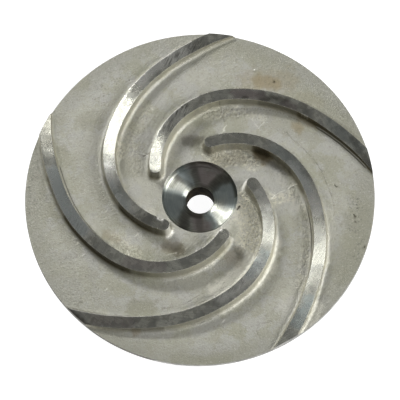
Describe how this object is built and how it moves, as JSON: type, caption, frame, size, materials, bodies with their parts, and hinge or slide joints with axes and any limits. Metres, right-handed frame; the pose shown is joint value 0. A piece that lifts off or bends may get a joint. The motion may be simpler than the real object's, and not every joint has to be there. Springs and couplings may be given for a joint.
{
  "type": "pump impeller",
  "caption": "Semi-open radial pump impeller: a flat shroud disc with backward-curved spiral vanes, a dished hub recess and a plain through bore.",
  "frame": {"origin": "centre of the hub's back face, on the shaft axis", "axes": "+Z along the shaft axis, from the hub's back face towards the open vane side; +X and +Y lie in the disc, with one vane tip at 6 degrees from +X"},
  "size_m": [0.2, 0.2, 0.0308],
  "materials": {
    "cast_stainless_steel": "satin"
  },
  "bodies": {
    "root": {"impeller_casting": "cast_stainless_steel"}
  },
  "joints": []
}
